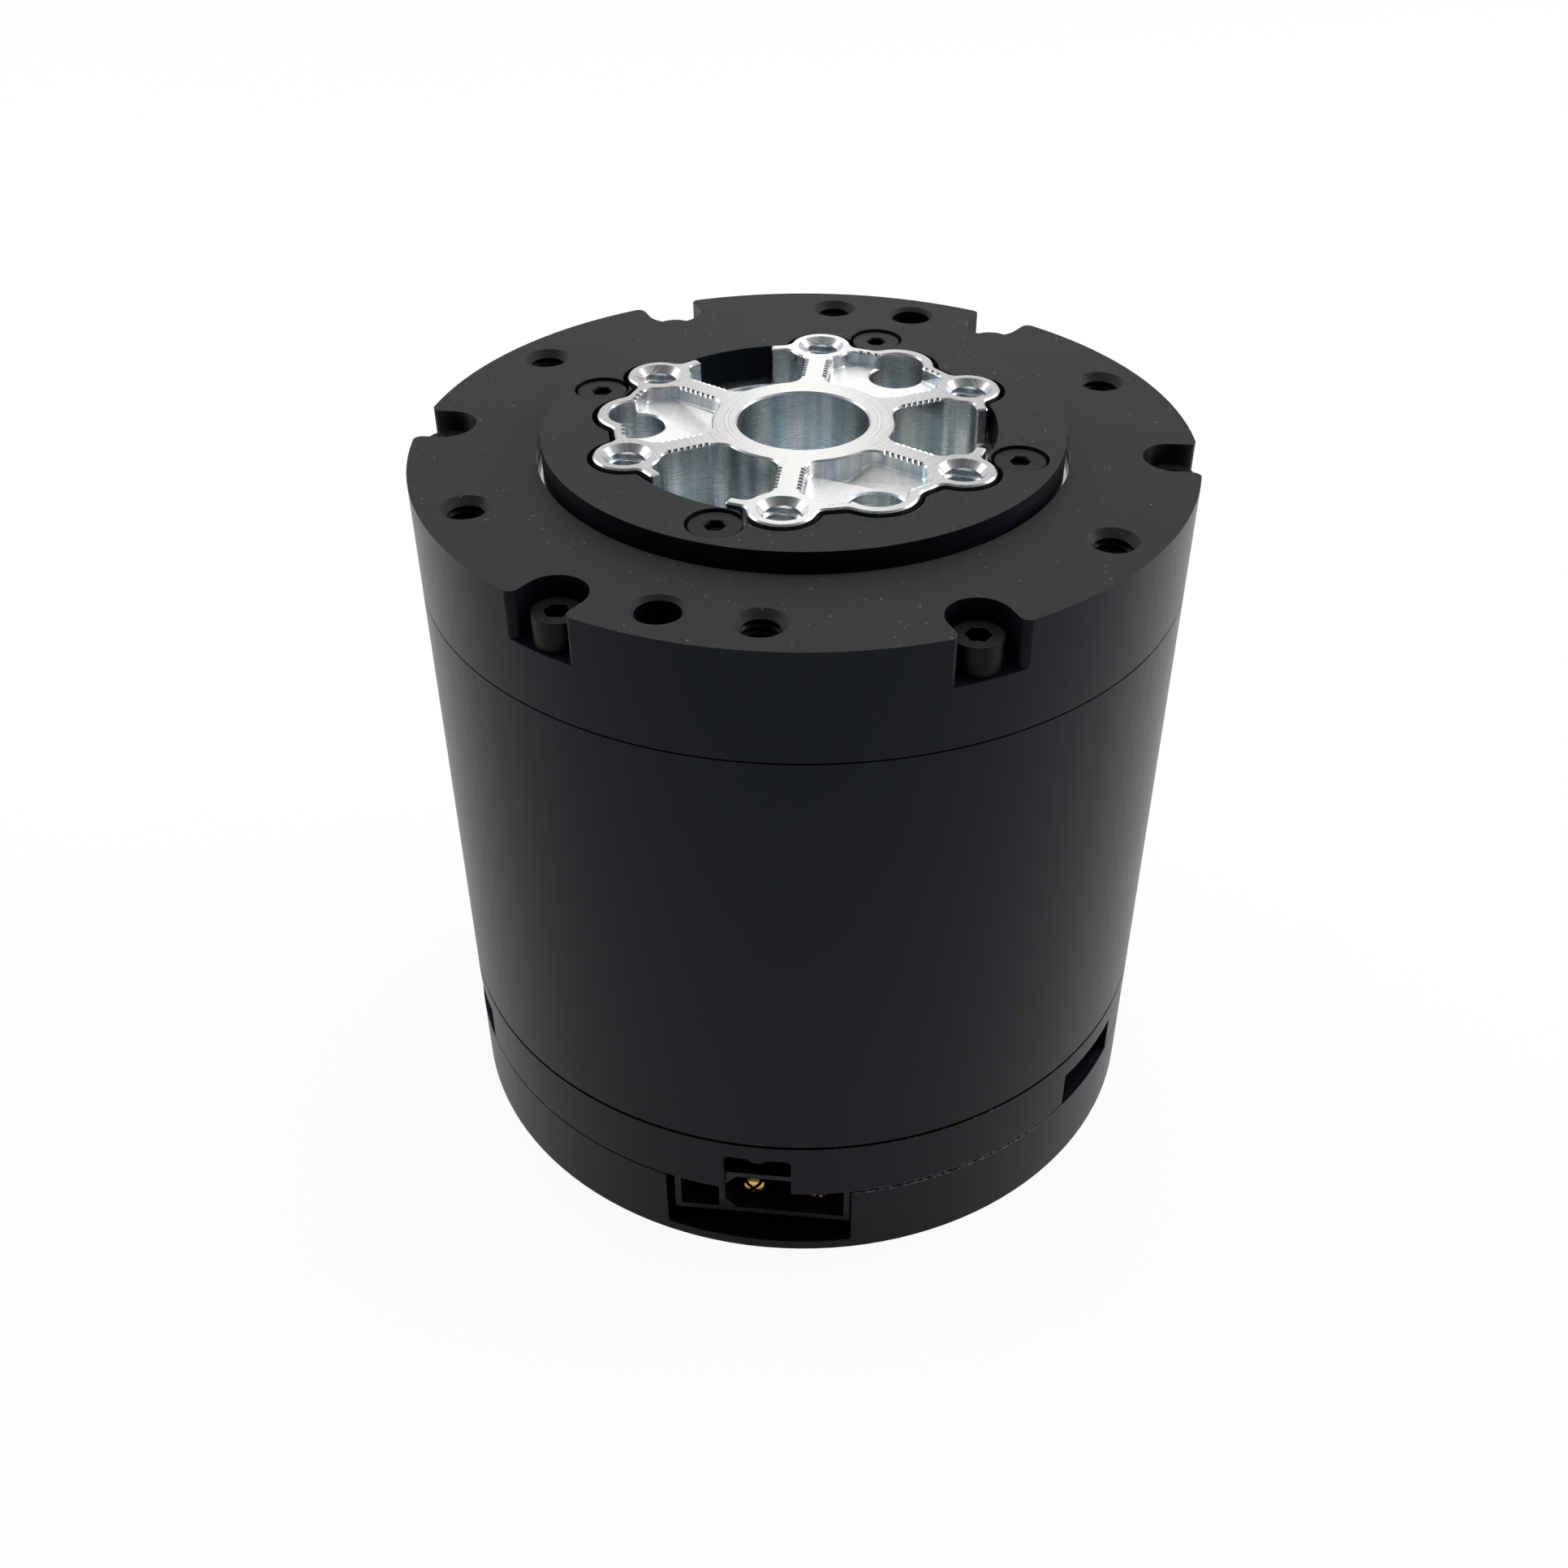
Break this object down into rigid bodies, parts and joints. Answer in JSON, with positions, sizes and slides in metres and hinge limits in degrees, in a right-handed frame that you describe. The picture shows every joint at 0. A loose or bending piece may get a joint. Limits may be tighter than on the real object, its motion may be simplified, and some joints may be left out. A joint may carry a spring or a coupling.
{
  "type": "robot joint actuator",
  "caption": "Round robot joint actuator: motor, planetary gear train and driver in one cylindrical housing, with a lobed output carrier and a bolted mounting flange.",
  "frame": {"origin": "centre of the flat rear face", "axes": "+Z along the output axis, from the rear face to the output face; the power connector faces -Y"},
  "size_m": [0.056, 0.056, 0.0567],
  "materials": {
    "housing": "matte black hard anodised, with fine turned grain",
    "bare_aluminium": "bare machined",
    "black_screws": "black oxide",
    "bearing_steel": "ground",
    "gear_steel": "cut and hardened",
    "pin_steel": "ground",
    "rotor_steel": "turned",
    "laminations": "stacked steel sheets",
    "winding_copper": "enamelled copper wire",
    "magnet_nickel": "nickel plated",
    "board_laminate": "solder mask",
    "connector_plastic": "moulded",
    "contact_gold": "gold plated"
  },
  "bodies": {
    "housing": {"front_flange": "housing", "motor_sleeve": "housing", "rear_ring": "housing", "rear_cover": "housing", "flange_screws": "black_screws", "rear_screws": "black_screws", "output_bearing_outer_race": "bearing_steel", "ring_gear": "gear_steel", "mid_plate": "bare_aluminium", "motor_bearings": "bearing_steel", "stator_core": "laminations", "stator_coils": "winding_copper", "driver_board": "board_laminate", "connector_shell": "connector_plastic", "power_pins": "contact_gold", "signal_pins": "contact_gold"},
    "output": {"output_carrier": "bare_aluminium", "output_disc": "housing", "disc_screws": "black_screws", "output_bearing_inner_race": "bearing_steel", "second_stage_pins": "pin_steel"},
    "second_planet_1": {"second_stage_planet_1": "gear_steel"},
    "second_planet_2": {"second_stage_planet_2": "gear_steel"},
    "second_planet_3": {"second_stage_planet_3": "gear_steel"},
    "first_carrier": {"first_stage_carrier": "gear_steel", "second_stage_sun": "gear_steel", "first_stage_pins": "pin_steel"},
    "first_planet_1": {"first_stage_planet_1": "gear_steel"},
    "first_planet_2": {"first_stage_planet_2": "gear_steel"},
    "first_planet_3": {"first_stage_planet_3": "gear_steel"},
    "rotor": {"rotor_shaft": "pin_steel", "rotor_hub": "rotor_steel", "rotor_magnets": "magnet_nickel", "input_sun": "gear_steel", "encoder_magnet": "magnet_nickel"}
  },
  "joints": [
    {"name": "output_rotation", "type": "hinge", "parent": "housing", "child": "output", "pos_m": [0, 0, 0.05], "axis": [0, 0, 1], "continuous": true},
    {"name": "second_planet_1_spin", "type": "hinge", "parent": "output", "child": "second_planet_1", "pos_m": [0.006, 0.01039, 0.0426], "axis": [0, 0, 1], "continuous": true},
    {"name": "second_planet_2_spin", "type": "hinge", "parent": "output", "child": "second_planet_2", "pos_m": [-0.012, 0, 0.0426], "axis": [0, 0, 1], "continuous": true},
    {"name": "second_planet_3_spin", "type": "hinge", "parent": "output", "child": "second_planet_3", "pos_m": [0.006, -0.01039, 0.0426], "axis": [0, 0, 1], "continuous": true},
    {"name": "first_carrier_rotation", "type": "hinge", "parent": "housing", "child": "first_carrier", "pos_m": [0, 0, 0.038], "axis": [0, 0, 1], "continuous": true},
    {"name": "first_planet_1_spin", "type": "hinge", "parent": "first_carrier", "child": "first_planet_1", "pos_m": [0.006, 0.01039, 0.0342], "axis": [0, 0, 1], "continuous": true},
    {"name": "first_planet_2_spin", "type": "hinge", "parent": "first_carrier", "child": "first_planet_2", "pos_m": [-0.012, 0, 0.0342], "axis": [0, 0, 1], "continuous": true},
    {"name": "first_planet_3_spin", "type": "hinge", "parent": "first_carrier", "child": "first_planet_3", "pos_m": [0.006, -0.01039, 0.0342], "axis": [0, 0, 1], "continuous": true},
    {"name": "rotor_rotation", "type": "hinge", "parent": "housing", "child": "rotor", "pos_m": [0, 0, 0.02], "axis": [0, 0, 1], "continuous": true}
  ],
  "couplings": [
    {"joint": "second_planet_1_spin", "follows": "output_rotation", "ratio": -2.5},
    {"joint": "second_planet_2_spin", "follows": "output_rotation", "ratio": -2.5},
    {"joint": "second_planet_3_spin", "follows": "output_rotation", "ratio": -2.5},
    {"joint": "first_carrier_rotation", "follows": "output_rotation", "ratio": 6},
    {"joint": "first_planet_1_spin", "follows": "output_rotation", "ratio": -15},
    {"joint": "first_planet_2_spin", "follows": "output_rotation", "ratio": -15},
    {"joint": "first_planet_3_spin", "follows": "output_rotation", "ratio": -15},
    {"joint": "rotor_rotation", "follows": "output_rotation", "ratio": 36}
  ]
}
